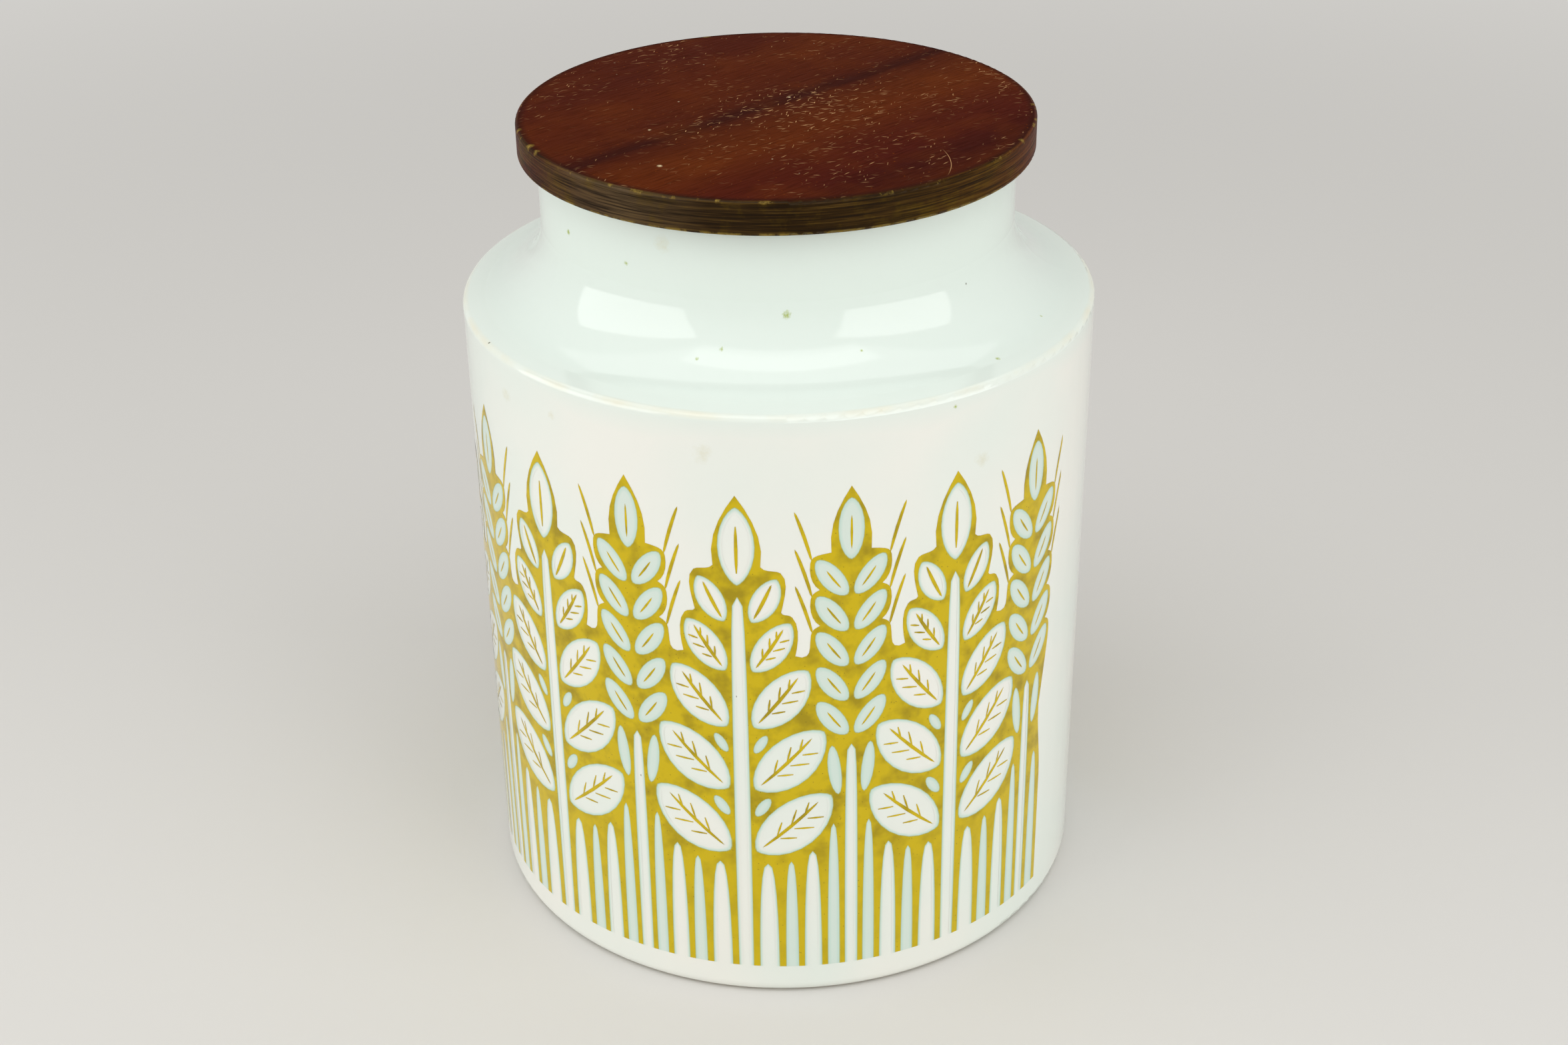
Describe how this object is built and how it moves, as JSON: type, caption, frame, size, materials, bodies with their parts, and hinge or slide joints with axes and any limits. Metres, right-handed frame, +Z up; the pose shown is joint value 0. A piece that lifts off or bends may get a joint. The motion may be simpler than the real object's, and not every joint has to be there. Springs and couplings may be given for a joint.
{
  "type": "food storage canister",
  "caption": "Round glazed ceramic storage jar with a wide neck, a turned wooden lid whose plug fits the neck, and a finned seal ring round the plug.",
  "frame": {"origin": "on the jar's axis, in the plane that its foot ring stands on", "axes": "+Z up along the jar's axis, -Y to the printed front, +X to the right of that front"},
  "size_m": [0.14, 0.14, 0.185],
  "materials": {
    "glaze": "glossy white glaze over a printed band of ochre and pale aqua",
    "lid_wood": "dark red-brown hardwood, turned, stained and waxed",
    "seal": "translucent off-white silicone, satin"
  },
  "bodies": {
    "jar": {"jar": "glaze"},
    "seal_ring": {"seal_ring": "seal"},
    "lid": {"lid": "lid_wood"}
  },
  "joints": [
    {"name": "lid_lift", "type": "slide", "parent": "jar", "child": "seal_ring", "axis": [0, 0, 1], "range_m": [0, 0.12]},
    {"name": "lid_turn", "type": "hinge", "parent": "seal_ring", "child": "lid", "pos_m": [0, 0, 0.1712], "axis": [0, 0, 1], "continuous": true}
  ]
}
